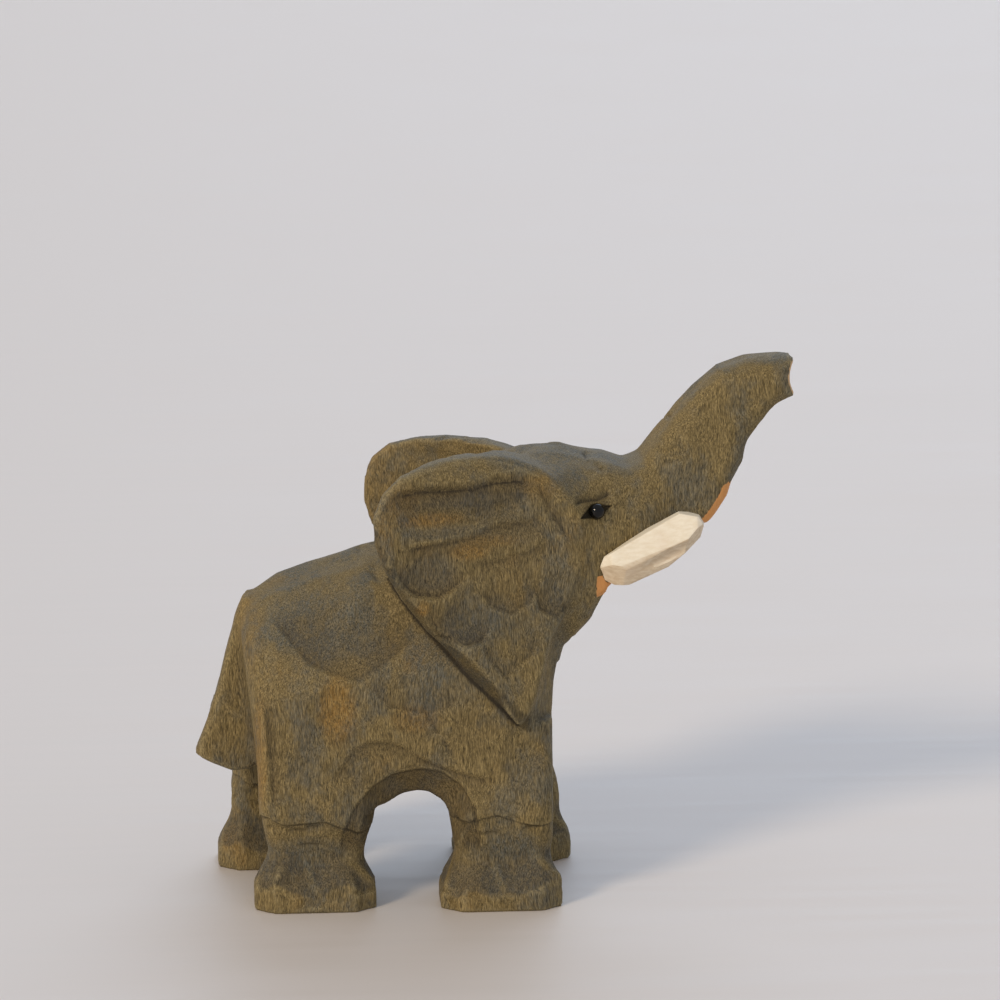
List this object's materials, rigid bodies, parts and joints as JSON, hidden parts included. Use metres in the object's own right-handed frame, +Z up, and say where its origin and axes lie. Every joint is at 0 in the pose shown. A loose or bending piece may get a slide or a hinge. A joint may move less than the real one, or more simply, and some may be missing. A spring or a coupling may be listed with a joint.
{
  "type": "carved wooden elephant figurine",
  "caption": "Small hand-carved wooden elephant standing with its trunk raised, with pale tusks let into the cheeks and black bead eyes.",
  "frame": {"origin": "on the ground under the middle of the figure's length and ear span", "axes": "+X forwards, the way the trunk points; +Y to the elephant's left; +Z up"},
  "size_m": [0.0924, 0.0438, 0.0825],
  "materials": {
    "stained_wood": "matt grey-brown stain, worn through to ochre on the edges",
    "pale_wood": "cream paint over whittled wood",
    "black_glass": "glossy opaque black glass",
    "pin_steel": "plain drawn wire"
  },
  "bodies": {
    "root": {"carved_body": "stained_wood", "tusk_right": "pale_wood", "tusk_left": "pale_wood", "eye_bead_right": "black_glass", "eye_bead_left": "black_glass", "eye_pin_right": "pin_steel", "eye_pin_left": "pin_steel"}
  },
  "joints": []
}
